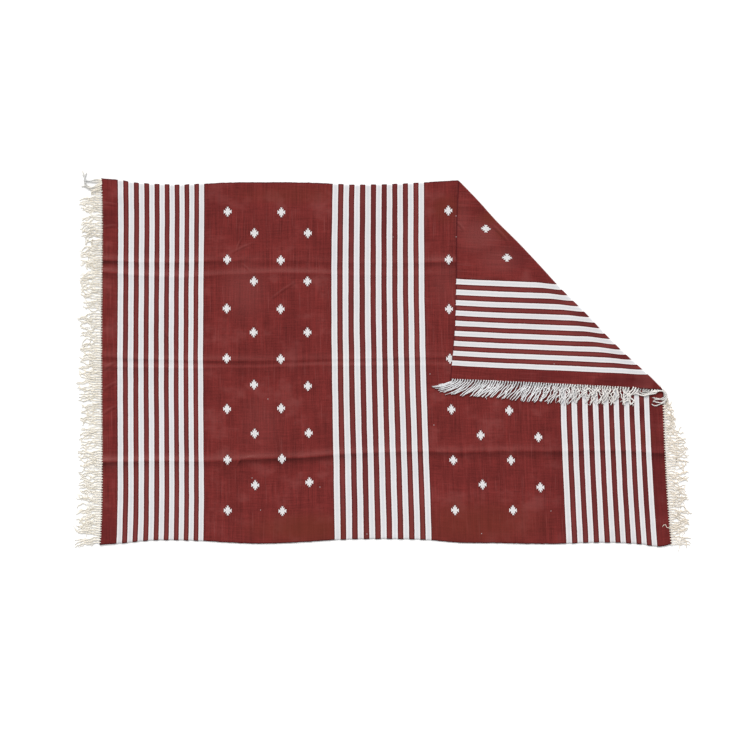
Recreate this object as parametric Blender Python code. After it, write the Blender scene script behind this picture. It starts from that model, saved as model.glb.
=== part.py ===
"""A flat-woven cotton rug with corded ends, lying on a floor with one corner turned over.

Units are metres. X runs along the rug, Y across it, Z up from the floor at zero.
"""

import math
from collections import namedtuple

import bmesh
import bpy
from mathutils import Vector

# Cloth
CLOTH_THICKNESS = 0.003
CLOTH_COLUMNS = 42
CLOTH_ROWS = 24
CLOTH_COLOUR = (0.19, 0.025, 0.028, 1.0)

# Outline of the flat cloth, before its corner is turned: how far out each edge lies, along its length
EdgePoint = namedtuple("EdgePoint", "along out")
TOP_EDGE = (
    EdgePoint(-0.927, 0.599),
    EdgePoint(-0.878, 0.595),
    EdgePoint(-0.818, 0.5855),
    EdgePoint(-0.736, 0.580),
    EdgePoint(-0.670, 0.578),
    EdgePoint(-0.584, 0.582),
    EdgePoint(-0.531, 0.585),
    EdgePoint(-0.393, 0.5865),
    EdgePoint(-0.274, 0.586),
    EdgePoint(-0.188, 0.583),
    EdgePoint(-0.125, 0.579),
    EdgePoint(0.003, 0.579),
    EdgePoint(0.076, 0.582),
    EdgePoint(0.148, 0.587),
    EdgePoint(0.228, 0.592),
    EdgePoint(0.340, 0.5955),
    EdgePoint(0.793, 0.596),
    EdgePoint(0.905, 0.605),
)
BOTTOM_EDGE = (
    EdgePoint(-0.934, -0.610),
    EdgePoint(-0.855, -0.604),
    EdgePoint(-0.776, -0.596),
    EdgePoint(-0.617, -0.596),
    EdgePoint(-0.498, -0.603),
    EdgePoint(-0.419, -0.606),
    EdgePoint(-0.300, -0.603),
    EdgePoint(-0.142, -0.593),
    EdgePoint(0.016, -0.590),
    EdgePoint(0.135, -0.593),
    EdgePoint(0.254, -0.603),
    EdgePoint(0.386, -0.604),
    EdgePoint(0.485, -0.6065),
    EdgePoint(0.571, -0.607),
    EdgePoint(0.689, -0.602),
    EdgePoint(0.848, -0.607),
    EdgePoint(0.922, -0.6145),
    EdgePoint(0.953, -0.607),
)
LEFT_EDGE = (
    EdgePoint(-0.610, -0.934),
    EdgePoint(-0.442, -0.929),
    EdgePoint(-0.244, -0.928),
    EdgePoint(0.033, -0.930),
    EdgePoint(0.310, -0.930),
    EdgePoint(0.429, -0.925),
    EdgePoint(0.604, -0.930),
)
RIGHT_EDGE = (
    EdgePoint(-0.617, 0.953),
    EdgePoint(-0.541, 0.946),
    EdgePoint(-0.462, 0.940),
    EdgePoint(-0.303, 0.931),
    EdgePoint(-0.145, 0.925),
    EdgePoint(-0.023, 0.922),
    EdgePoint(0.109, 0.919),
    EdgePoint(0.308, 0.911),
    EdgePoint(0.440, 0.907),
    EdgePoint(0.605, 0.905),
)

# The fold that turns the far right corner over onto the rug
FOLD_START = Vector((0.2475, 0.594))
FOLD_END = Vector((0.927, -0.102))
ROLL_RADIUS = 0.003
ROLL_STEPS = 5
TURNED_GAP = 0.0008
SETTLE_LENGTH = 0.045
FREE_EDGE_LIFT = 0.0015
FREE_EDGE_WIDTH = 0.05

# How far inwards the fold bows from the straight line between its ends, along its length
FOLD_BOW_WIDTH = 0.06
FOLD_BOW = (
    EdgePoint(0.0, 0.0),
    EdgePoint(0.100, 0.0005),
    EdgePoint(0.180, 0.0040),
    EdgePoint(0.285, 0.0025),
    EdgePoint(0.395, 0.0045),
    EdgePoint(0.480, 0.0075),
    EdgePoint(0.616, 0.0060),
    EdgePoint(0.700, 0.0078),
    EdgePoint(0.780, 0.0070),
    EdgePoint(0.860, 0.0025),
    EdgePoint(0.900, 0.0),
    EdgePoint(0.980, 0.0),
)

# Soft ridges left by folding the rug for storage. Two of them stop before the turned corner.
Ridge = namedtuple("Ridge", "y_left y_right height half_width x_end")
RIDGE_X_LEFT = -0.93
RIDGE_X_RIGHT = 0.93
RIDGE_FADE = 0.05
RIDGES = (
    Ridge(0.320, 0.292, 0.0022, 0.020, 0.18),
    Ridge(-0.013, -0.014, 0.0011, 0.010, 0.18),
    Ridge(-0.340, -0.292, 0.0024, 0.022, 1.10),
)

# Warp ends: a narrow strip along each end, parted from the cloth, carries the strands
STRIP_GAP = 0.0005
STRIP_WIDTH = 0.003
STRAND_PITCH = 0.0082
STRAND_WIDTH = 0.0044
STRAND_TIP_SHARE = 0.5
STRAND_HEIGHT = 0.0026
STRAND_STEPS = 3
STRAND_BEND = 0.42
SWAY = 0.0012
SWAY_TURNS = 1.1
SWAY_PHASE = 0.3
RESTING_GAP = 0.0003
COTTON_COLOUR = (0.74, 0.69, 0.58, 1.0)

# One row for each bunch of strands: where its roots end along the rug's end,
# and where its first and last tips lie
Bunch = namedtuple("Bunch", "root_end first_x first_y last_x last_y")
LEFT_BUNCHES = (
    Bunch(0.561, -0.990, 0.614, -0.980, 0.575),
    Bunch(0.541, -0.966, 0.560, -0.968, 0.547),
    Bunch(0.485, -1.000, 0.532, -1.000, 0.495),
    Bunch(0.433, -0.997, 0.466, -1.000, 0.433),
    Bunch(0.386, -1.003, 0.423, -0.985, 0.393),
    Bunch(0.337, -0.997, 0.363, -1.000, 0.333),
    Bunch(0.297, -1.007, 0.323, -0.985, 0.304),
    Bunch(0.231, -1.003, 0.281, -1.003, 0.235),
    Bunch(0.159, -1.003, 0.225, -0.987, 0.169),
    Bunch(0.116, -1.010, 0.138, -1.007, 0.119),
    Bunch(0.063, -1.000, 0.109, -1.003, 0.070),
    Bunch(-0.003, -1.000, 0.053, -1.003, 0.000),
    Bunch(-0.066, -1.007, -0.016, -1.010, -0.056),
    Bunch(-0.138, -1.013, -0.069, -1.007, -0.132),
    Bunch(-0.214, -1.000, -0.152, -1.007, -0.211),
    Bunch(-0.294, -1.003, -0.227, -1.005, -0.287),
    Bunch(-0.360, -1.010, -0.306, -1.003, -0.354),
    Bunch(-0.429, -1.002, -0.369, -1.007, -0.420),
    Bunch(-0.478, -1.003, -0.440, -1.017, -0.466),
    Bunch(-0.581, -1.010, -0.508, -1.017, -0.556),
    Bunch(-0.606, -1.018, -0.594, -1.018, -0.617),
)
RIGHT_BUNCHES = (
    Bunch(-0.171, 0.954, -0.141, 0.960, -0.167),
    Bunch(-0.224, 0.968, -0.184, 0.972, -0.214),
    Bunch(-0.267, 0.990, -0.233, 1.003, -0.262),
    Bunch(-0.363, 1.006, -0.279, 1.010, -0.356),
    Bunch(-0.402, 1.010, -0.371, 1.013, -0.396),
    Bunch(-0.488, 1.006, -0.417, 1.010, -0.476),
    Bunch(-0.577, 1.018, -0.510, 1.006, -0.562),
    Bunch(-0.612, 1.018, -0.592, 1.016, -0.615),
)
TURNED_BUNCHES = (
    Bunch(0.542, 0.168, -0.104, 0.236, -0.117),
    Bunch(0.489, 0.244, -0.118, 0.290, -0.121),
    Bunch(0.443, 0.297, -0.121, 0.336, -0.125),
    Bunch(0.374, 0.345, -0.124, 0.412, -0.129),
    Bunch(0.291, 0.421, -0.132, 0.497, -0.142),
    Bunch(0.245, 0.512, -0.138, 0.554, -0.145),
    Bunch(0.163, 0.565, -0.142, 0.643, -0.146),
    Bunch(0.073, 0.655, -0.145, 0.738, -0.148),
    Bunch(-0.006, 0.749, -0.146, 0.812, -0.152),
    Bunch(-0.075, 0.822, -0.138, 0.880, -0.144),
)
LEFT_START = 0.600
RIGHT_START = -0.129
TURNED_START = 0.600

FOLD_ALONG = (FOLD_END - FOLD_START).normalized()
FOLD_ACROSS = Vector((-FOLD_ALONG.y, FOLD_ALONG.x))
HALF_CLOTH = CLOTH_THICKNESS / 2
ROLL_BEGIN = -(ROLL_RADIUS + HALF_CLOTH)
ROLL_DROP = 2 * ROLL_RADIUS - CLOTH_THICKNESS - TURNED_GAP
TURNED_FLOOR = CLOTH_THICKNESS + RESTING_GAP


def clear_scene():
    for thing in list(bpy.data.objects):
        bpy.data.objects.remove(thing, do_unlink=True)


def mix(low, high, share):
    return low + (high - low) * share


def ease(share):
    share = min(max(share, 0.0), 1.0)
    return share * share * (3 - 2 * share)


def edge_slope(edge, index):
    before = edge[max(index - 1, 0)]
    after = edge[min(index + 1, len(edge) - 1)]
    return (after.out - before.out) / (after.along - before.along)


def edge_at(edge, along):
    """How far out a table's edge lies, on a smooth curve through its points."""
    last = len(edge) - 2
    index = next((i for i in range(last) if along < edge[i + 1].along), last)
    start = edge[index]
    end = edge[index + 1]
    run = end.along - start.along
    share = min(max((along - start.along) / run, 0.0), 1.0)
    leave = edge_slope(edge, index) * run
    arrive = edge_slope(edge, index + 1) * run
    rise = end.out - start.out
    bow = share * (1 - share) * ((leave - rise) * (1 - share) + (rise - arrive) * share)
    return start.out + rise * share + bow


def outline_point(along_share, across_share):
    """The flat cloth's point at these shares of its length and width."""
    y = mix(BOTTOM_EDGE[0].out, TOP_EDGE[0].out, across_share)
    for _ in range(3):
        x = mix(edge_at(LEFT_EDGE, y), edge_at(RIGHT_EDGE, y), along_share)
        y = mix(edge_at(BOTTOM_EDGE, x), edge_at(TOP_EDGE, x), across_share)
    return Vector((x, y))


def ridge_line(ridge, x):
    return mix(ridge.y_left, ridge.y_right, (x - RIDGE_X_LEFT) / (RIDGE_X_RIGHT - RIDGE_X_LEFT))


def ridge_height(point):
    height = 0.0
    for ridge in RIDGES:
        away = abs(point.y - ridge_line(ridge, point.x)) / ridge.half_width
        fade = ease((ridge.x_end - point.x) / RIDGE_FADE)
        height += ridge.height * fade * max(0.0, 1 - away)
    return height


def free_edge_lift(point):
    """The turned corner's long free edge stands a little off the cloth below it."""
    inside = edge_at(TOP_EDGE, point.x) - point.y
    return FREE_EDGE_LIFT * ease(1 - inside / FREE_EDGE_WIDTH)


def fold_bow(point, out):
    """How far a point near the fold is drawn inwards, on both layers alike."""
    along = (point - FOLD_START).dot(FOLD_ALONG)
    return edge_at(FOLD_BOW, along) * ease(1 - abs(out) / FOLD_BOW_WIDTH)


def folded(point):
    """Where a point of the flat cloth's middle surface lies once the corner is turned over."""
    reach = (point - FOLD_START).dot(FOLD_ACROSS)
    past = reach - ROLL_BEGIN
    if past <= 0:
        place = point - FOLD_ACROSS * fold_bow(point, reach)
        return Vector((place.x, place.y, HALF_CLOTH + ridge_height(point)))
    turn = min(past / ROLL_RADIUS, math.pi)
    beyond = max(past - math.pi * ROLL_RADIUS, 0.0)
    out = ROLL_BEGIN + ROLL_RADIUS * math.sin(turn) - beyond
    settled = ease(beyond / SETTLE_LENGTH)
    height = HALF_CLOTH + ROLL_RADIUS * (1 - math.cos(turn)) - ROLL_DROP * settled
    height += free_edge_lift(point) * settled
    place = point + FOLD_ACROSS * (out - reach - fold_bow(point, out))
    return Vector((place.x, place.y, height))


def cut_along(bm, point, normal):
    bmesh.ops.bisect_plane(
        bm,
        geom=bm.verts[:] + bm.edges[:] + bm.faces[:],
        plane_co=point,
        plane_no=normal,
    )


def cut_ridges(bm):
    for ridge in RIDGES:
        run = Vector((RIDGE_X_RIGHT - RIDGE_X_LEFT, ridge.y_right - ridge.y_left, 0))
        normal = Vector((-run.y, run.x, 0)).normalized()
        for side in (-1, 0, 1):
            point = Vector((RIDGE_X_LEFT, ridge.y_left + side * ridge.half_width, 0))
            cut_along(bm, point, normal)


def cut_fold(bm):
    """Rows of vertices where the cloth rolls over, and a few more where it settles."""
    roll = [ROLL_BEGIN + math.pi * ROLL_RADIUS * i / ROLL_STEPS for i in range(ROLL_STEPS + 1)]
    settle = [roll[-1] + SETTLE_LENGTH * share for share in (0.35, 0.65, 1.0)]
    for reach in roll + settle:
        cut_along(bm, (FOLD_START + FOLD_ACROSS * reach).to_3d(), FOLD_ACROSS.to_3d())


def material(name, colour, roughness):
    made = bpy.data.materials.new(name)
    made.use_nodes = True
    shader = made.node_tree.nodes["Principled BSDF"]
    shader.inputs["Base Color"].default_value = colour
    shader.inputs["Roughness"].default_value = roughness
    shader.inputs["Metallic"].default_value = 0.0
    return made


def add_object(name, bm, finish):
    mesh = bpy.data.meshes.new(name)
    bm.to_mesh(mesh)
    bm.free()
    mesh.materials.append(finish)
    made = bpy.data.objects.new(name, mesh)
    bpy.context.scene.collection.objects.link(made)
    return made


def make_cloth():
    bm = bmesh.new()
    bmesh.ops.create_grid(bm, x_segments=CLOTH_COLUMNS, y_segments=CLOTH_ROWS, size=0.5)
    for vert in bm.verts:
        vert.co = outline_point(vert.co.x + 0.5, vert.co.y + 0.5).to_3d()
    cut_ridges(bm)
    cut_fold(bm)
    for vert in bm.verts:
        vert.co = folded(vert.co.xy)
    cloth = add_object("rug_cloth", bm, material("madder_cotton", CLOTH_COLOUR, 0.9))
    thicken = cloth.modifiers.new("Solidify", "SOLIDIFY")
    thicken.thickness = CLOTH_THICKNESS
    thicken.offset = 0.0
    thicken.use_even_offset = True


def end_point(edge, outward, along, out):
    """A point beside one end of the flat cloth, this far out from its edge."""
    return Vector((edge_at(edge, along) + outward * out, along))


def lie(point, turned):
    return folded(point).xy if turned else point


def strand_path(root, heading, tip, phase):
    """The middle of a strand from its root to its tip: a bend with a slight sway."""
    bend = root + heading * (tip - root).length * STRAND_BEND
    side = Vector((-heading.y, heading.x))
    path = []
    for step in range(STRAND_STEPS + 1):
        share = step / STRAND_STEPS
        point = root * (1 - share) ** 2 + bend * 2 * share * (1 - share) + tip * share**2
        sway = SWAY * share * math.sin(2 * math.pi * SWAY_TURNS * share + phase)
        path.append(point + side * sway)
    return path


def path_sides(path, heading):
    """A unit vector across the strand at each point of its path."""
    ahead = [heading]
    for before, here in zip(path, path[1:]):
        ahead.append((here - before).normalized())
    return [Vector((-way.y, way.x)) for way in ahead]


def grow_strand(bm, root_face, path, sides, floor):
    """Draws a three-sided strand out of its root face, flat side down on the floor."""
    face = root_face
    for step in range(1, STRAND_STEPS + 1):
        face = bmesh.ops.extrude_discrete_faces(bm, faces=[face])["faces"][0]
        size = mix(1.0, STRAND_TIP_SHARE, step / STRAND_STEPS)
        for vert in face.verts:
            if vert.co.z > floor + RESTING_GAP:
                vert.co = path[step].to_3d()
                vert.co.z = floor + STRAND_HEIGHT * size
                continue
            away = (vert.co.xy - path[step - 1]).dot(sides[step - 1])
            reach = math.copysign(STRAND_WIDTH * size / 2, away)
            vert.co = (path[step] + sides[step] * reach).to_3d()
            vert.co.z = floor


def strand_plan(start, bunches):
    """Each strand's root along the end, and its tip, bunch by bunch."""
    plan = []
    for bunch in bunches:
        count = max(1, round((start - bunch.root_end) / STRAND_PITCH))
        step = (bunch.root_end - start) / count
        first = Vector((bunch.first_x, bunch.first_y))
        last = Vector((bunch.last_x, bunch.last_y))
        for i in range(count):
            tip = first.lerp(last, i / max(1, count - 1))
            plan.append((start + step * (i + 0.5), tip))
        start = bunch.root_end
    return plan


def strip_section(bm, flat, heights):
    return [bm.verts.new((flat.x, flat.y, z)) for z in heights]


def make_fringe(name, edge, outward, turned, start, bunches, finish):
    """A strip beside one end of the cloth, with a strand growing from it at every warp end."""
    floor = TURNED_FLOOR if turned else 0.0
    top = floor + STRAND_HEIGHT
    plan = strand_plan(start, bunches)
    bm = bmesh.new()

    def mark(along, out, heights):
        point = end_point(edge, outward, along, out)
        return strip_section(bm, lie(point, turned), heights)

    front = STRIP_GAP + STRIP_WIDTH
    backs = []
    feet = []
    crests = []
    for along, _ in plan:
        backs.append(mark(along, STRIP_GAP, (floor, top)))
        crests.append(mark(along, front, (top,))[0])
        feet.append(
            [mark(along + side * STRAND_WIDTH / 2, front, (floor,))[0] for side in (1, -1)]
        )
    roots = []
    for back, foot, crest in zip(backs, feet, crests):
        roots.append(bm.faces.new((foot[0], foot[1], crest)))
        bm.faces.new((back[0], foot[0], foot[1]))
    for i in range(len(plan) - 1):
        bm.faces.new((feet[i][1], feet[i + 1][0], crests[i + 1], crests[i]))
        bm.faces.new((backs[i][0], feet[i][1], feet[i + 1][0], backs[i + 1][0]))
        bm.faces.new((backs[i][1], crests[i], crests[i + 1], backs[i + 1][1]))
        bm.faces.new((backs[i][0], backs[i][1], backs[i + 1][1], backs[i + 1][0]))
    bm.faces.new((backs[0][0], backs[0][1], crests[0], feet[0][0]))
    bm.faces.new((backs[-1][0], backs[-1][1], crests[-1], feet[-1][1]))
    for i, (along, tip) in enumerate(plan):
        root = lie(end_point(edge, outward, along, front), turned)
        heading = (root - lie(end_point(edge, outward, along, 0.0), turned)).normalized()
        path = strand_path(root, heading, tip, i * SWAY_PHASE)
        grow_strand(bm, roots[i], path, path_sides(path, heading), floor)
    bmesh.ops.recalc_face_normals(bm, faces=bm.faces[:])
    add_object(name, bm, finish)


def make_fringes():
    cotton = material("undyed_cotton", COTTON_COLOUR, 0.95)
    make_fringe("fringe_left", LEFT_EDGE, -1, False, LEFT_START, LEFT_BUNCHES, cotton)
    make_fringe("fringe_right", RIGHT_EDGE, 1, False, RIGHT_START, RIGHT_BUNCHES, cotton)
    make_fringe("fringe_turned", RIGHT_EDGE, 1, True, TURNED_START, TURNED_BUNCHES, cotton)


clear_scene()
make_cloth()
make_fringes()
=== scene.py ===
import math
import random
from functools import reduce

import bpy
import numpy as np
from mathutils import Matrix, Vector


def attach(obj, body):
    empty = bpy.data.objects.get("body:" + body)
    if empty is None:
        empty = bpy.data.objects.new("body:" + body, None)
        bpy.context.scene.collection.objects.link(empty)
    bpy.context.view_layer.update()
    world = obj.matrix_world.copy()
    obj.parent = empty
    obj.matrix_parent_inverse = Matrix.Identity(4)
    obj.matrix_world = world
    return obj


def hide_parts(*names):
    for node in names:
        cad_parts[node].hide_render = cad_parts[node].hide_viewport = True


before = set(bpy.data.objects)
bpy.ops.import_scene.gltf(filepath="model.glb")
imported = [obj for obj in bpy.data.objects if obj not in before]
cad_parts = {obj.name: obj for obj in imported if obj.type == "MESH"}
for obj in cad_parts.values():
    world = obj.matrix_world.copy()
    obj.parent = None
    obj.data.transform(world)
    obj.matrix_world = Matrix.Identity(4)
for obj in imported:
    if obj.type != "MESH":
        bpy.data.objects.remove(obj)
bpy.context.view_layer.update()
print("frame loaded, nodes:", ", ".join(sorted(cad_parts)))


def thousandths(table):
    # tables in millimetres, with shares in thousandths
    return np.array(table, float) / 1000


# The rug in plan, in metres: x along it, y across it, as it lies on the floor
plan = {
    "length": 1.846,  # of the flat cloth, without its fringe
    "width": 1.2,
    "thickness": 0.003,
    "foldStart": (0.2475, 0.594),  # the fold that turns the far right corner over
    "foldEnd": (0.927, -0.102),
    "rollRadius": 0.003,
    "rollSteps": 8,
    "turnedGap": 0.0008,
    "settleLength": 0.045,
    "bowReach": 0.06,
    "firstGuess": (-0.6, 1.192),  # y of the near selvedge, and how far it is to the far one
    "endSpan": (-0.606, 1.206),  # the same along the ends
}

# Weft lines, from the left end over the edges of the bands to the right end: how far along the flat
# cloth each is, then its x at five levels of y
levels = thousandths((-594, -313, -13, 317, 594))
weftLines = thousandths((
    (0, -934, -928, -930, -928, -930), (51, -881, -877, -878, -876, -877.5),
    (334, -593, -592, -594, -592, -590.5), (757, -162, -166, -171, -172, -168),
    (1066, 160, 151, 141, 136, 135), (1511, 603, 590.3, 581.3, 577.7, 572.8),
    (1800, 904, 886.2, 874.7, 867.8, 861), (1846, 951, 932, 922, 913.5, 908),
))

# Selvedges: x, y
farSelvedge = thousandths((
    (-927, 599), (-878, 595), (-818, 585.5), (-736, 580), (-670, 578), (-584, 582), (-531, 585),
    (-393, 586.5), (-274, 586), (-188, 583), (-125, 579), (3, 579), (76, 582), (148, 587), (228, 592),
    (340, 595.5), (793, 596), (905, 605),
))
nearSelvedge = thousandths((
    (-934, -610), (-855, -604), (-776, -596), (-617, -596), (-498, -603), (-419, -606), (-300, -603),
    (-142, -593), (16, -590), (135, -593), (254, -603), (386, -604), (485, -606.5), (571, -607),
    (689, -602), (848, -607), (922, -614.5), (953, -607),
))

# The fold isn't straight: how far inwards it bows, along its length
foldBow = thousandths((
    (0, 0), (100, 0.5), (180, 4), (285, 2.5), (395, 4.5), (480, 7.5), (616, 6), (700, 7.8), (780, 7),
    (860, 2.5), (900, 0), (980, 0),
))

# Stripe bands on the flat cloth. The stripes bow a little further along in the middle of each
bands = (
    {"start": 0.0535, "pitch": 0.033, "width": 0.0166, "whites": 9, "bow": 0.0035},
    {"start": 0.7595, "pitch": 0.036, "width": 0.018, "whites": 9, "bow": 0.0024},
    {"start": 1.5127, "pitch": 0.0337, "width": 0.0166, "whites": 9, "bow": 0.0035},
)

foldStart = np.array(plan["foldStart"])
foldAlong = np.array(plan["foldEnd"]) - foldStart
foldAlong = foldAlong / np.linalg.norm(foldAlong)
foldAcross = np.array((-foldAlong[1], foldAlong[0]))
halfCloth = plan["thickness"] / 2


def ease(share):
    share = np.clip(share, 0.0, 1.0)
    return share * share * (3 - 2 * share)


def smoothAlong(points, at):
    # a smooth curve through a table of points
    xs, ys = np.array(points, float).T
    slopes = np.gradient(ys, xs)
    i = np.clip(np.searchsorted(xs, at) - 1, 0, len(xs) - 2)
    run = xs[i + 1] - xs[i]
    t = np.clip((at - xs[i]) / run, 0.0, 1.0)
    rise = ys[i + 1] - ys[i]
    bow = t * (1 - t) * ((slopes[i] * run - rise) * (1 - t) + (rise - slopes[i + 1] * run) * t)
    return ys[i] + rise * t + bow


def clothPoint(u, v):
    # from the flat cloth's metres to the floor plan, before the corner is turned
    share = v / plan["width"]
    y = plan["firstGuess"][0] + share * plan["firstGuess"][1]
    for _ in range(2):
        x = np.zeros_like(u)
        for k, level in enumerate(levels):
            weight = np.ones_like(u)
            for other in levels:
                if other != level:
                    weight = weight * (y - other) / (level - other)
            x = x + weight * np.interp(u, weftLines[:, 0], weftLines[:, k + 1])
        y = smoothAlong(nearSelvedge, x) * (1 - share) + smoothAlong(farSelvedge, x) * share
    return x, y


def reachOf(x, y):
    # how far beyond the fold line a place is, before anything is turned
    return (x - foldStart[0]) * foldAcross[0] + (y - foldStart[1]) * foldAcross[1]


def turnCorner(x, y, lift):
    # lays the far right corner over the rug; lift is the height of the relief
    reach = reachOf(x, y)
    radius = plan["rollRadius"]
    begin = -(radius + halfCloth)
    past = np.maximum(reach - begin, 0.0)
    turn = np.minimum(past / radius, math.pi)
    beyond = np.maximum(past - math.pi * radius, 0.0)
    settled = ease(beyond / plan["settleLength"])
    drop = 2 * radius - plan["thickness"] - plan["turnedGap"]
    z = halfCloth + radius * (1 - np.cos(turn)) - drop * settled + lift
    out = np.where(past > 0, begin + radius * np.sin(turn) - beyond, reach)
    along = (x - foldStart[0]) * foldAlong[0] + (y - foldStart[1]) * foldAlong[1]
    bow = smoothAlong(foldBow, along) * ease(1 - np.abs(out) / plan["bowReach"])
    move = out - reach - bow
    return x + foldAcross[0] * move, y + foldAcross[1] * move, z


def onlySelect(thing):
    if bpy.context.mode != "OBJECT":
        bpy.ops.object.mode_set(mode="OBJECT")
    bpy.ops.object.select_all(action="DESELECT")
    thing.select_set(True)
    bpy.context.view_layer.objects.active = thing


# Storage creases, near side first, against the place along the flat cloth: where the crest is across
# it, its height, and how much painted light the red yarn gets beyond the crest and painted shade
# before it. Its slopes reach this far beyond and before it
creases = (
    {
        "line": (
            (0, 271.3), (376, 270.6), (450, 277), (521, 282.8), (677, 283.7), (800, 290), (1100, 298),
            (1395, 305.7), (1846, 304),
        ),
        "height": ((0, 2.6), (350, 1.8), (600, 1.8), (700, 2.2), (1100, 1.8), (1846, 1.7)),
        "beyond": 13, "before": 15,
        "lighter": (
            (0, 700), (60, 380), (300, 340), (420, 280), (500, 420), (600, 200), (700, 360), (850, 200),
            (1100, 160), (1200, 180), (1350, 180), (1500, 120), (1846, 50),
        ),
        "darker": (
            (0, 600), (50, 420), (200, 300), (300, 320), (390, 150), (460, 360), (600, 550), (700, 460),
            (900, 320), (1100, 380), (1300, 280), (1500, 350), (1846, 420),
        ),
    },
    {
        "line": ((0, 583), (360, 580.8), (710, 587), (1100, 585.6), (1846, 585)),
        "height": ((0, 0.9), (400, 1.2), (800, 1), (1120, 1), (1200, 0), (1846, 0)),
        "beyond": 4.5, "before": 11,
        "lighter": (
            (0, 260), (100, 260), (300, 420), (420, 240), (600, 280), (700, 380), (1100, 200), (1846, 0),
        ),
        "darker": ((0, 140), (300, 50), (700, 80), (1100, 50), (1846, 0)),
    },
    {
        "line": ((0, 614.3), (360, 606), (710, 609.4), (1100, 613.8), (1846, 614)),
        "height": ((0, 0.9), (400, 1.3), (800, 1), (1120, 0.9), (1200, 0), (1846, 0)),
        "beyond": 11, "before": 5,
        "lighter": ((0, 180), (300, 220), (450, 200), (600, 100), (1100, 120), (1846, 0)),
        "darker": (
            (0, 140), (100, 280), (300, 240), (360, 340), (500, 300), (600, 240), (1100, 240), (1846, 0),
        ),
    },
    {
        "line": ((0, 893.1), (360, 889.3), (545, 897.1), (710, 895.2), (1100, 890), (1846, 890)),
        "height": ((0, 2), (300, 1.1), (700, 1.2), (800, 0.4), (1100, 0.3), (1200, 0), (1846, 0)),
        "beyond": 10, "before": 10,
        "lighter": (
            (0, 580), (80, 220), (300, 340), (400, 260), (500, 280), (600, 420), (700, 380), (800, 100),
            (1100, 80), (1846, 0),
        ),
        "darker": ((0, 240), (100, 180), (300, 0), (600, 80), (1100, 100), (1846, 0)),
    },
    {
        "line": ((0, 932.5), (360, 939.6), (600, 938.5), (1100, 931), (1846, 931)),
        "height": (
            (0, 2.5), (50, 1.8), (300, 1.2), (550, 0.6), (950, 0.3), (1100, 1.2), (1190, 0), (1846, 0),
        ),
        "beyond": 11, "before": 10,
        "lighter": (
            (0, 380), (100, 140), (300, 280), (400, 100), (600, 50), (1000, 100), (1100, 340), (1846, 0),
        ),
        "darker": (
            (0, 600), (70, 320), (150, 240), (300, 380), (380, 220), (500, 80), (900, 120), (1100, 260),
            (1846, 0),
        ),
    },
)
creases = [{key: thousandths(table) for key, table in crease.items()} for crease in creases]

relief = {
    # puckers: x, y, half length, half width, height, and turn in degrees
    "puckers": (
        (-455, 338, 45, 9, 2.2, 28), (-492, 372, 32, 8, 1.6, -55), (-478, -334, 26, 9, 2, 40),
        (-425, -318, 40, 10, 1.6, 8), (-870, -60, 60, 14, 1.4, 24), (-905, -115, 50, 14, 1.4, 30),
        (-890, -190, 60, 14, 1.3, 24), (-890, 540, 50, 14, 1.8, 6), (-900, 500, 40, 12, 1.6, -8),
        (-300, 330, 60, 12, 1.2, 5), (-860, 20, 60, 12, 1.2, -12), (625, -572, 50, 10, 1.3, 40),
        (740, -575, 45, 10, 1.2, 32), (845, -560, 40, 10, 1.1, 48),
    ),
    "crest": 0.0022,  # how round the crests are
    "lightReach": 0.009,
    "darkReach": 0.0055,
    "wave": 0.0008,
    "endRipple": 0.0016,
    "rippleReach": 0.045,
    "turnedFrom": 0.02,  # how far beyond the fold the turned corner is uneven
    "turnedOver": 0.08,
    "freeEdge": 0.0012,
    "freeWidth": 0.05,
    "turnedWave": 0.0005,
    "selvedgeStep": 0.0009,
    "selvedgeRag": 0.00035,
    "selvedgeReach": 0.01,
    "cell": (0.0078, 0.0092),  # of the mesh, along and across
    "seed": 7,
}


def creaseRelief(u, v, x, y):
    lift = np.zeros_like(u)
    for crease in creases:
        away = v - smoothAlong(crease["line"], u)
        reach = np.where(away > 0, crease["beyond"], crease["before"])
        height = np.interp(u, *crease["height"].T)
        lift = lift + height * np.exp((relief["crest"] - np.hypot(away, relief["crest"])) / reach)
    for *sizes, turn in relief["puckers"]:
        px, py, half, width, height = thousandths(sizes)
        c, s = math.cos(math.radians(turn)), math.sin(math.radians(turn))
        along = (x - px) * c + (y - py) * s
        across = -(x - px) * s + (y - py) * c
        lift = lift + height * np.exp(-((along / half) ** 2) - (across / width) ** 2)
    # the ends of the cloth ripple
    fromEnd = np.minimum(u, plan["length"] - u)
    ripple = np.sin(v * 152 + 3 * np.sin(v * 11))
    ripple = ripple + 0.7 * np.sin(v * 97 + u * 30 + 2 * np.sin(v * 7 + 1))
    fade = np.exp(-fromEnd / relief["rippleReach"])
    lift = lift + relief["endRipple"] * fade * (ripple + 1.7) / 2
    # the rest is slightly uneven
    wave = np.sin(u * 9.1 + 1.3) * np.sin(v * 7.3 + 0.4) + 0.6 * np.sin(u * 21 - v * 13)
    wave = wave + 0.5 * np.sin(u * 38 + v * 47) * np.sin(v * 31 - u * 23 + 1)
    lift = lift + relief["wave"] * (wave + 2.1) / 3.2
    # the turned corner lies a little unevenly, its free edge stands off
    far = ease((reachOf(x, y) - relief["turnedFrom"]) / relief["turnedOver"])
    inside = smoothAlong(farSelvedge, x) - y
    lift = lift + far * relief["freeEdge"] * ease(1 - inside / relief["freeWidth"])
    return lift + far * relief["turnedWave"] * (1 + np.sin(u * 17 + v * 5) * np.sin(v * 19))


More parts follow.
